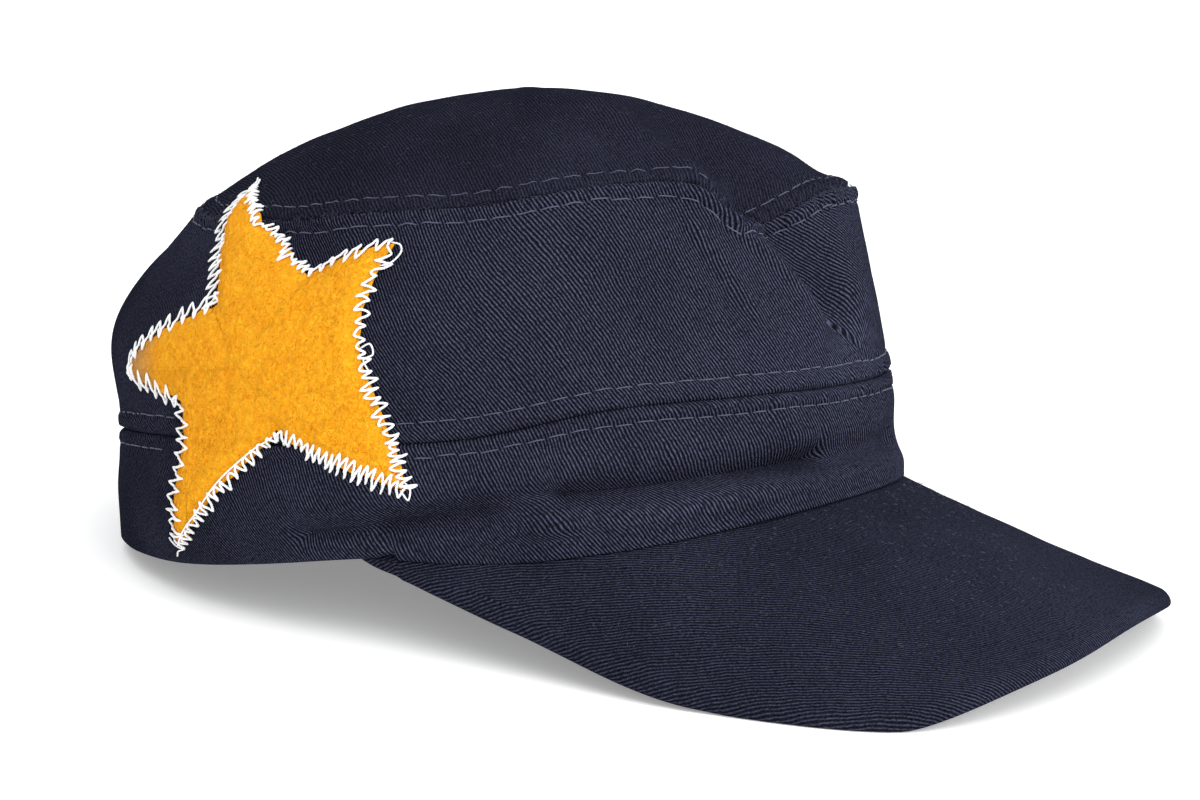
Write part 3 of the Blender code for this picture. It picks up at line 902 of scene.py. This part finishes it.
def felt():
    """Pressed orange felt: matted short fibres, with darker flecks and one tip darker and browner."""
    material, tree, shader = make_material("felt_matted")
    place = object_place(tree)
    warp = noise(tree, place, 420.0, result="Color")
    amount = (0.0035, 0.0035, 0.0035)
    bent = add_node(tree, "VectorMath", {0: warp, 1: amount, 2: place}, operation="MULTIPLY_ADD")
    strands = ramp(tree, noise(tree, bent.outputs[0], 1500.0, 3.0, 0.6), 0.36, 0.66)
    flecks = ramp(tree, noise(tree, place, 1300.0, 2.0, 0.5), 0.64, 0.72)
    cloud = ramp(tree, noise(tree, place, 90.0, 3.0, 0.5), 0.3, 0.7)
    tone = times(tree, strands, 0.75, times(tree, cloud, 0.25))
    body = mix_colour(tree, tone, FELT_DEEP, FELT_LIGHT)
    flecked = mix_colour(tree, times(tree, flecks, 0.55), body, FELT_FLECK)
    # The felt turns darker and browner near one tip.
    tip, _ = star_surface(star_corners()[DARK_TIP_CORNER] * 0.97, np.array(STAR_GAP))
    ends = {0: place, 1: rested(tip[None])[0].tolist()}
    away = add_node(tree, "VectorMath", ends, operation="DISTANCE").outputs["Value"]
    dark_tip = times(tree, ramp(tree, away, 0.022, 0.013), 0.75)
    feed(tree, shader, {
        "Base Color": mix_colour(tree, dark_tip, flecked, FELT_DARK_TIP),
        "Normal": bump(tree, strands, 0.00022),
        "Roughness": ramp(tree, cloud, -4.0, 1.3),
        "Specular IOR Level": 0.04,
        "Sheen Weight": 0.04,
        "Sheen Roughness": 0.5,
        "Sheen Tint": (1.0, 0.72, 0.30, 1.0),
    })
    return material


def deepened(colour, share):
    """A colour darkened to a share of itself."""
    return tuple(share * value for value in colour[:3]) + (1.0,)


def thread(name, colour, shine):
    """Twisted sewing thread."""
    material, tree, shader = make_material(name)
    parts = parts_of(tree, grain_place(tree))
    along = times(tree, parts["Y"], 2 * math.pi / THREAD_TWIST)
    twist = times(tree, parts["X"], 2 * math.pi / THREAD_TWIST, along)
    ply = ramp(tree, math_node(tree, "SINE", twist), -1.0, 1.0)
    feed(tree, shader, {
        "Base Color": mix_colour(tree, ply, deepened(colour, 0.80), colour),
        "Normal": bump(tree, ply, 0.00005),
        "Roughness": ramp(tree, noise(tree, object_place(tree), 300.0), -1.5 - shine, 1.2),
        "Specular IOR Level": 0.4,
        "Sheen Weight": 0.1,
    })
    return material


def fibre(name, colour):
    """Loose fibres, lighter and darker along their length."""
    material, tree, shader = make_material(name)
    tone = ramp(tree, noise(tree, object_place(tree), 700.0, 1.0), 0.35, 0.65)
    feed(tree, shader, {
        "Base Color": mix_colour(tree, tone, deepened(colour, 0.7), colour),
        "Roughness": 0.8,
        "Specular IOR Level": 0.05,
    })
    return material


def add_tubes(name, paths, facing, radii, sides, material):
    """Many thin tubes in one mesh, each along a path, thinning as the radii say."""
    count, steps = paths.shape[:2]
    tangent = unit(np.gradient(paths, axis=1))
    binormal = unit(np.cross(tangent, facing))
    upright = np.cross(binormal, tangent)
    turn = 2 * math.pi * np.arange(sides) / sides
    radii = np.broadcast_to(radii, (count, steps))[..., None, None]
    circle = upright[:, :, None] * np.cos(turn)[:, None] + binormal[:, :, None] * np.sin(turn)[:, None]
    points = rested((paths[:, :, None] + circle * radii).reshape(-1, 3))
    faces, corner_rows, corner_columns = grid_faces(steps, sides, True, False)
    lengths = length_along(paths, 1)
    width = 2 * math.pi * float(radii.max()) / sides
    polygons, grain = [], []
    for k in range(count):
        start = k * steps * sides
        polygons += (faces[:, ::-1] + start).tolist()
        wrapped = [corner_columns[:, ::-1] * width, lengths[k][corner_rows[:, ::-1]]]
        grain.append(np.stack(wrapped, -1).reshape(-1, 2))
        polygons.append(list(range(start, start + sides)))
        polygons.append(list(range(start + steps * sides - 1, start + (steps - 1) * sides - 1, -1)))
        grain.append(np.zeros((2 * sides, 2)))
    add_mesh(name, points, polygons, np.concatenate(grain), material)


def star_corners():
    """The star's points and notches in its own plane, in star radii."""
    turns = np.radians([row[0] for row in STAR_OUTLINE])
    reach = np.array([row[1] for row in STAR_OUTLINE])
    return np.stack([np.sin(turns), np.cos(turns)], -1) * reach[:, None]


def star_outline(steps):
    """The star's outline with steps along each edge, hand cut, and each place's edge number."""
    corners = star_corners()
    t = np.arange(steps)[:, None] / steps
    outline = []
    for here, there, row in zip(corners, np.roll(corners, -1, axis=0), STAR_OUTLINE):
        run = there - here
        outward = np.array([-run[1], run[0]]) / np.linalg.norm(run)
        outline.append(here + run * t + outward * row[2] * 4 * t * (1 - t))
    outline = np.concatenate(outline)
    return outline + HAND_CUT * np.stack([waves(outline, 0.11, 41), waves(outline, 0.11, 42)], -1)


def inside_star(places):
    """How far places in the star's plane are inside its edge, in metres, below zero outside."""
    outline = star_outline(10)
    nearest = np.full(places.shape[:-1], np.inf)
    crossings = np.zeros(places.shape[:-1], int)
    for here, there in zip(outline, np.roll(outline, -1, axis=0)):
        run = there - here
        t = np.clip((places - here) @ run / (run @ run), 0.0, 1.0)
        nearest = np.minimum(nearest, np.linalg.norm(places - here - t[..., None] * run, axis=-1))
        spans = (here[1] > places[..., 1]) != (there[1] > places[..., 1])
        rise = there[1] - here[1]
        reach = here[0] + (places[..., 1] - here[1]) * run[0] / (rise if rise else 1e-12)
        crossings += spans & (places[..., 0] < reach)
    return np.where(crossings % 2 == 1, nearest, -nearest) * STAR_RADIUS


def star_place(places):
    """The angles and levels on the wall of places in the star's plane, given in star radii."""
    up = STAR_HEIGHT + STAR_RADIUS * places[..., 1]
    past_band, past_side = up - BAND_HEIGHT, up - BAND_HEIGHT - SIDE_HEIGHT
    top = 2.0 + past_side / (TOP_SECTION[2] * HEAD_WIDTH / 2)
    level = np.where(past_band < 0.0, up / BAND_HEIGHT, 1.0 + past_band / SIDE_HEIGHT)
    level = np.where(past_side > 0.0, top, level)
    step = smooth_wall(STAR_ANGLE + 1.0, level) - smooth_wall(STAR_ANGLE - 1.0, level)
    return STAR_ANGLE + STAR_RADIUS * places[..., 0] / (np.linalg.norm(step, axis=-1) / 2.0), level


def star_surface(places, lift):
    """Points over the star's plane at a height above the cloth, and the direction out."""
    angle, level = star_place(places)
    normal = out_of(angle, level)
    return wall_point(angle, level) + normal * (WALL + lift)[..., None], normal


def felt_rise(inside):
    """How high the felt's face stands above the cloth: pressed down along its sewn edge."""
    full = STAR_GAP + STAR_THICKNESS
    risen = smooth((inside + 0.0002) / PRESSED_WIDTH)
    return full * (PRESSED_SHARE + (1.0 - PRESSED_SHARE) * risen)


def star_piece():
    """The felt star: a fine face, a cut edge and a plain back."""
    outline = star_outline(STAR_STEPS)
    shares = np.append(np.linspace(0.0, 0.86, 46)[1:], np.linspace(0.86, 1.0, 22)[1:])
    places = shares[::-1, None, None] * outline[::-1][None]
    inside = inside_star(places)
    inside[0] = 0.0
    face, normal = star_surface(places, felt_rise(inside))
    lumps = 0.00010 * waves(face, 0.0016, 51) + 0.00012 * waves(face, 0.0045, 52)
    face = face + normal * (lumps * smooth(inside / 0.001))[..., None]
    edge_low, _ = star_surface(places[:1] * 1.004, np.full(places[:1].shape[:-1], 0.00055))
    back_places = places[::11] * 0.995
    back, _ = star_surface(back_places, np.full(back_places.shape[:-1], FELT_BACK))
    rows = np.concatenate([back[::-1], edge_low, face])
    faces, _, _ = grid_faces(len(rows), len(outline), True, False)
    middle, _ = star_surface(np.zeros((2, 2)), np.array([STAR_GAP + STAR_THICKNESS, FELT_BACK]))
    points = rested(np.vstack([rows.reshape(-1, 3), middle]))
    polygons = faces.tolist()
    last = (len(rows) - 1) * len(outline)
    for k in range(len(outline)):
        after = (k + 1) % len(outline)
        polygons.append([last + k, last + after, len(points) - 2])
        polygons.append([after, k, len(points) - 1])
    corners = sum(len(polygon) for polygon in polygons)
    piece = add_mesh("star_felt", points, polygons, np.zeros((corners, 2)), felt())
    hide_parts("star")


def zigzag_turns(random):
    """The places where the zigzag turns, alternately inside and outside the star's edge."""
    corners = star_corners() * STAR_RADIUS
    turns = []
    for here, there, row, outline_row in zip(corners, np.roll(corners, -1, axis=0), ZIGZAG, STAR_OUTLINE):
        inside, outside, pitch, ragged = row
        run = there - here
        length = np.linalg.norm(run)
        outward = np.array([-run[1], run[0]]) / length
        count = max(int(length / pitch), 4)
        t = (np.arange(2 * count) + 0.5 + random.uniform(-0.3, 0.3, 2 * count)) / (2 * count)
        reach = np.where(np.arange(2 * count) % 2 == 0, -inside, outside)
        reach = reach + random.normal(0.0, ragged, 2 * count)
        reach = reach + outline_row[2] * STAR_RADIUS * 4 * t * (1 - t)
        near_end = np.minimum(t, 1 - t) * length
        reach = np.where(reach < 0.0, reach * np.clip(near_end / 0.0035, 0.35, 1.0), reach)
        turns.append(here + run * t[:, None] + outward * reach[:, None])
    return np.concatenate(turns) / STAR_RADIUS


def thread_height(places):
    """How high a thread lies over the star's plane: on the felt, or on the cloth beside it."""
    inside = inside_star(places)
    beside = 0.0003 + 0.0008 * smooth((inside + 0.0012) / 0.0012)
    return np.where(inside > -0.0001, felt_rise(np.maximum(inside, 0.0)) + 0.00012, beside)


def zigzag(white):
    """The white zigzag that sews the star on, over its edge and back."""
    random = np.random.default_rng(61)
    turns = zigzag_turns(random)
    count = len(turns)
    steps = np.linspace(0.0, 1.0, 10)
    here, there = turns, np.roll(turns, -1, axis=0)
    path = here[:, None] + (there - here)[:, None] * steps[None, :, None]
    sideways = unit(np.stack([-(there - here)[:, 1], (there - here)[:, 0]], -1))
    bend = random.normal(0.0, 0.005, (count, 1))
    path = path + sideways[:, None] * (bend * np.sin(math.pi * steps))[..., None]
    arch = random.uniform(0.0001, 0.00055, (count, 1)) * np.sin(math.pi * steps)
    points, normal = star_surface(path, thread_height(path) + arch)
    radii = THREAD_RADIUS * np.array([0.6, 0.95, 1, 1, 1, 1, 1, 1, 0.95, 0.6])
    add_tubes("zigzag_thread", points, normal, radii, 7, white)


def loose_threads(white):
    """The loops and ends that have come loose, and the straight thread under them."""
    steps = np.linspace(0.0, 1.0, 40)
    paths, facing = [], []
    for places in LOOSE_THREADS:
        rows = [(k / (len(places) - 1), *place) for k, place in enumerate(places)]
        x, y, lift = (read(rows, steps, column) for column in (1, 2, 3))
        points, normal = star_surface(np.stack([x, y], -1), lift * 0.001)
        paths.append(points)
        facing.append(normal)
    corners = star_corners()
    here, there = corners[STRAIGHT_EDGE], corners[STRAIGHT_EDGE + 1]
    straight = here + (there - here) * (0.03 + 0.94 * steps[:, None])
    straight = straight + 0.012 * np.stack([waves(straight, 0.5, 64), waves(straight, 0.4, 65)], -1)
    points, normal = star_surface(straight, thread_height(straight) + 0.0004)
    paths.append(points)
    facing.append(normal)
    add_tubes("loose_thread", np.array(paths), np.array(facing), THREAD_RADIUS * 0.7, 7, white)


def topstitches(surfaces, blue):
    """The four rows of stitches beside the seams, left out under the star."""
    random = np.random.default_rng(71)
    paths, facing = [], []
    steps = np.linspace(0.0, 1.0, 8)
    for seam, offset in STITCH_ROWS:
        surface = surfaces[int(seam) - 1 + (offset > 0)]
        girth = around_length(-180.0 + 360.0 * np.arange(COLUMNS) / COLUMNS)[-1]
        if seam > 1.0:
            girth *= TOP_SEAM_GIRTH
        count = int(girth / (STITCH_LENGTH + STITCH_SPACE))
        start = -180.0 + 360.0 * (np.arange(count) + random.uniform(-0.05, 0.05, count)) / count
        cover = 360.0 / count * STITCH_LENGTH / (STITCH_LENGTH + STITCH_SPACE)
        angle = start[:, None] + cover * steps
        drift = offset + random.normal(0.0, 0.00012, (count, 1)) + 0.0001 * np.sin(math.pi * steps)
        points, normal = surface.at(angle, drift)
        lift = -0.00016 + 0.00032 * np.sin(math.pi * steps) ** 0.3
        points = points + normal * lift[None, :, None]
        under = angle.mean(1)
        bend = HEAD_LENGTH / 2 * STAR_SIDE_BEND
        across = (under - STAR_ANGLE) * math.pi / 180.0 * bend / STAR_RADIUS
        height = BAND_HEIGHT + SIDE_HEIGHT * (seam - 1.0) + offset
        up = np.full(count, (height - STAR_HEIGHT) / STAR_RADIUS)
        shown = inside_star(np.stack([across, up], -1)) < 0.0004
        if offset == STITCH_ROWS[1][1]:
            shown &= np.abs(across) > HIDDEN_STITCHES
        paths.append(points[shown])
        facing.append(normal[shown])
    radii = STITCH_RADIUS * np.array([0.5, 0.9, 1, 1, 1, 1, 0.9, 0.5])
    paths, facing = np.concatenate(paths), np.concatenate(facing)
    add_tubes("topstitches", paths, facing, radii, 6, blue)


def add_fibres(name, points, normal, material):
    """Short curled fibres that lie on a surface, each standing up a little."""
    length, radius, lift, seed = FIBRES[name]
    random = np.random.default_rng(seed)
    count = len(points)
    aside = unit(np.cross(normal, random.normal(size=(count, 3))))
    other = np.cross(normal, aside)
    reach = random.uniform(0.5, 1.0, (count, 1)) * length
    curl = random.uniform(-0.9, 0.9, (count, 1)) * reach
    rise = random.uniform(0.1, 1.0, (count, 1)) * lift
    t = np.linspace(0.0, 1.0, 5)[None, :, None]
    paths = points[:, None] + aside[:, None] * reach[:, None] * t + other[:, None] * curl[:, None] * t * t
    paths = paths + normal[:, None] * (rise[:, None] * np.sin(math.pi * (0.15 + 0.6 * t)))
    radii = radius * np.array([1.0, 1.0, 0.9, 0.7, 0.35])
    facing = np.broadcast_to(normal[:, None], paths.shape)
    add_tubes(name, paths, facing, radii, 3, material)


def corner_share(across):
    """How far out in the peak's corners places across are, from 0 to 1."""
    return smooth((np.abs(across) - CORNER_START) / (1.0 - CORNER_START))


def shaped_peak(rows, across):
    """Draw the peak's corners back under the band, and warp its front edge."""
    angle = across * PEAK_CORNER
    further = angle * (1.0 + CORNER_REACH * corner_share(across))
    here, there = ring(angle, *EDGE_SECTION), ring(further, *EDGE_SECTION)
    past = smooth(np.abs(further) - PEAK_CORNER + 0.5)
    rise = edge_height(further, *there) - edge_height(angle, *here)
    rise += GAP_CLOSED * SEAM_GAP * past
    rows = rows + np.stack([there[0] - here[0], there[1] - here[1], rise], -1)
    forward = np.clip((ring(angle, *EDGE_SECTION)[1] - rows[..., 1]) / PEAK_REACH, 0.0, 1.1)
    for place, spread, lift in PEAK_WARP:
        rows[..., 2] += lift * np.exp(-(((across - place) / spread) ** 2)) * smooth(forward / 0.5) ** 2
    return rows


def peak_piece(material):
    """The peak: cloth above and below, rolled round its outer edge."""
    columns, top_rows, bend_rows, under_rows = 420, 130, 12, 26
    across = np.linspace(1.0, -1.0, columns)
    reach = peak_reach(across)
    last = np.maximum(1.0 - PEAK_ROLL / np.maximum(reach, 1e-6), 0.1)
    forward = np.linspace(0.0, 1.0, top_rows)[:, None]
    top = peak_point(across[None, :], forward * last)
    edge = peak_point(across, last)
    out = unit(peak_point(across, 1.0) - peak_point(across, np.maximum(last - 0.02, 0.0)))
    down = np.array([0.0, 0.0, -1.0])
    turn = np.linspace(0.0, math.pi, bend_rows + 2)[1:-1, None, None]
    thin = (1.0 - CORNER_THIN * corner_share(across))[None, :, None]
    bend = edge[None] + out[None] * PEAK_ROLL * thin * np.sin(turn)
    bend = bend + down * PEAK_EDGE / 2 * thin * (1.0 - np.cos(turn))
    shares = np.linspace(1.0, 0.0, under_rows)[:, None] ** 1.5
    thicker = (PEAK_EDGE - PEAK_THICKNESS) * (1.0 - smooth((1.0 - shares) * reach / 0.009))
    under = peak_point(across[None, :], shares * last)
    under = under + down * thin * (PEAK_THICKNESS + thicker[..., None])
    relief = 0.00016 * waves(top, 0.040, 81) + 0.00006 * waves(top, 0.012, 82)
    held = smooth(forward * 12.0) * smooth((1.0 - forward) * 30.0)
    top[..., 2] += relief * held
    rows = shaped_peak(np.concatenate([top, bend, under]), across)
    length = length_along(rows)
    grain = np.stack([rows[..., 0], -rows[..., 1]], -1)
    past = np.maximum(length - length[top_rows - 1], 0.0)
    grain[top_rows:] = grain[top_rows - 1] + out[None, :, :2] * [1.0, -1.0] * past[top_rows:, :, None]
    turned = grain[..., ::-1] * [1.0, -1.0]
    grain = cut_on_grain(turned[..., 0], turned[..., 1], PEAK_RIB_TILT)
    faces, corner_rows, corner_columns = grid_faces(len(rows), columns, False, True)
    polygons = faces[:, ::-1].tolist()
    corners = [grain[corner_rows[:, ::-1], corner_columns[:, ::-1]].reshape(-1, 2)]
    polygons.append([row * columns for row in range(len(rows))])
    corners.append(grain[:, 0])
    polygons.append([row * columns + columns - 1 for row in reversed(range(len(rows)))])
    corners.append(grain[::-1, -1])
    piece = add_mesh("peak_cloth", rested(rows), polygons, np.concatenate(corners), material)
    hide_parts("peak")


def towards(azimuth, elevation):
    """The direction towards an azimuth and an elevation, in degrees."""
    a, e = math.radians(azimuth), math.radians(elevation)
    return Vector((math.sin(a) * math.cos(e), -math.cos(a) * math.cos(e), math.sin(e)))


def add_camera():
    """The camera at the photo's place and angle."""
    back = towards(CAMERA_AZIMUTH, CAMERA_ELEVATION)
    azimuth = math.radians(CAMERA_AZIMUTH)
    right = Vector((math.cos(azimuth), math.sin(azimuth), 0.0))
    axes = Matrix((right, back.cross(right), back)).transposed()
    axes = axes @ Matrix.Rotation(math.radians(CAMERA_ROLL), 3, "Z")
    camera = add_object("camera", bpy.data.cameras.new("camera"))
    camera.matrix_world = Matrix.Translation(Vector(CAMERA_PLACE)) @ axes.to_4x4()
    camera.data.sensor_width = SENSOR
    camera.data.lens = FOCAL_PIXELS / FRAME_PIXELS * SENSOR
    camera.data.clip_start = 0.01
    camera.data.clip_end = 50.0
    bpy.context.scene.camera = camera


def add_light(name, energy, spread, azimuth, elevation):
    """A broad distant light from a direction, in degrees."""
    light = bpy.data.lights.new(name, "SUN")
    light.energy = energy
    light.angle = math.radians(spread)
    turn = towards(azimuth, elevation).to_track_quat("Z", "Y")
    add_object(name, light).rotation_euler = turn.to_euler()


def add_studio():
    """A pale floor and soft light from all round."""
    size = 40.0
    corners = [(-size, -size, 0), (size, -size, 0), (size, size, 0), (-size, size, 0)]
    mesh = bpy.data.meshes.new("floor")
    mesh.from_pydata(corners, [], [(0, 1, 2, 3)])
    floor = add_object("floor", mesh)
    floor.location.z = -0.0002
    material, tree, shader = make_material("floor")
    feed(tree, shader, {
        "Base Color": (0.93, 0.93, 0.93, 1.0),
        "Emission Color": (1.0, 1.0, 1.0, 1.0),
        "Emission Strength": 0.26,
        "Roughness": 0.9,
        "Specular IOR Level": 0.1,
    })
    mesh.materials.append(material)
    world = bpy.data.worlds.new("studio")
    world.use_nodes = True
    tree = world.node_tree
    feed(tree, tree.nodes["Background"], {"Color": (0.97, 0.98, 1.0, 1.0), "Strength": 0.46})
    bpy.context.scene.world = world
    for row in LIGHTS:
        add_light(*row)
    bpy.context.scene.view_settings.view_transform = "Standard"


def build():
    """Make the cap's cloth, the star, the threads and the studio."""
    add_camera()
    add_studio()
    cloth = twill("twill_side", RIB_PITCH, 1.0, 0.10)
    band_cloth = twill("twill_band", RIB_PITCH, 0.90, 0.10)
    # The crown's twill: its darker ribs are painted shade on the cap's top.
    crown_cloth = twill("twill_crown", RIB_PITCH, 0.55, 0.35, CROWN_SHADED_RIB_HIGHLIGHT, CROWN_GAP_SHADE)
    peak_cloth = twill("twill_peak", RIB_PITCH * 0.92, 0.90, 0.20, PEAK_RIB_HIGHLIGHT)
    below, above = STITCH_ROWS[1][1], STITCH_ROWS[0][1]
    band = wall_piece(
        "band_cloth", "band", 0.0, 1.0 - SEWN_GAP / BAND_HEIGHT, (CREASE_ROUND, CREASE_ROUND),
        band_cloth, wall_detail(None, -below, 100), upright_grain, BAND_ROWS, INNER_ROWS,
    )
    side = wall_piece(
        "side_cloth", "side_panel", 1.0 + SEWN_GAP / SIDE_HEIGHT, 2.0 - SEWN_GAP / SIDE_HEIGHT,
        (CREASE_ROUND, RIDGE_ROUND), cloth, wall_detail(above, -STITCH_ROWS[3][1], 110),
        side_grain, SIDE_ROWS, INNER_ROWS,
    )
    crown = wall_piece(
        "crown_cloth", "crown_top", 2.0 + SEWN_GAP / SIDE_HEIGHT, 3.0, (RIDGE_ROUND, RIDGE_ROUND),
        crown_cloth, wall_detail(STITCH_ROWS[2][1], None, 120), crown_grain, CROWN_ROWS, INNER_ROWS,
    )
    peak_piece(peak_cloth)
    star_piece()
    white = thread("thread_white", THREAD_WHITE, 0.8)
    zigzag(white)
    loose_threads(white)
    topstitches((band, side, crown), thread("thread_blue", STITCH_BLUE, 0.2))
    add_fuzz(crown, side)


def add_fuzz(crown, side):
    """Loose fibres: fuzz on the felt, frayed threads along the top seam, and lint."""
    random = np.random.default_rng(91)
    places = random.uniform(-1.1, 1.1, (FUZZ_TRIED, 2))
    places = places[inside_star(places) > 0.0004][:FUZZ_COUNT]
    points, normal = star_surface(places, felt_rise(inside_star(places)) + 0.00002)
    half = len(points) // 2
    shades = ("light", FELT_LIGHT, slice(0, half)), ("deep", FELT_DEEP, slice(half, None))
    for name, colour, picked in shades:
        material = fibre("felt_fibre_" + name, colour)
        add_fibres("felt_fuzz_" + name, points[picked], normal[picked], material)
    lint = fibre("lint", LINT)
    angles = random.uniform(-180.0, 180.0, FRAY_COUNT)
    points, normal = side.at(angles, random.uniform(-0.0007, -0.0001, FRAY_COUNT))
    add_fibres("seam_fray", points, normal, lint)
    from_rim = 0.001 + 0.066 * (1.0 - np.sqrt(random.uniform(0.0, 1.0, CROWN_LINT_COUNT)))
    points, normal = crown.at(random.uniform(-180.0, 180.0, CROWN_LINT_COUNT), from_rim)
    add_fibres("crown_lint", points, normal, lint)
    across = random.uniform(-0.9, 0.9, PEAK_LINT_COUNT)
    forward = random.uniform(0.03, 0.80, PEAK_LINT_COUNT)
    reach = peak_reach(across)
    kept = random.uniform(0.0, 1.0, PEAK_LINT_COUNT) < 0.6 * reach / reach.max()
    points = peak_point(across, forward)[kept]
    pale = fibre("lint_pale", PALE_LINT)
    add_fibres("peak_lint", points, peak_normal(points), pale)


def peak_normal(points):
    """The direction out of the peak's upper face."""
    x = points[..., 0]
    slope = -x / np.sqrt(np.maximum(PEAK_ARCH_RADIUS**2 - x * x, 1e-9))
    forward = math.tan(math.radians(PEAK_DROOP))
    return unit(np.stack([-slope, np.full(x.shape, -forward), np.ones(x.shape)], -1))


build()
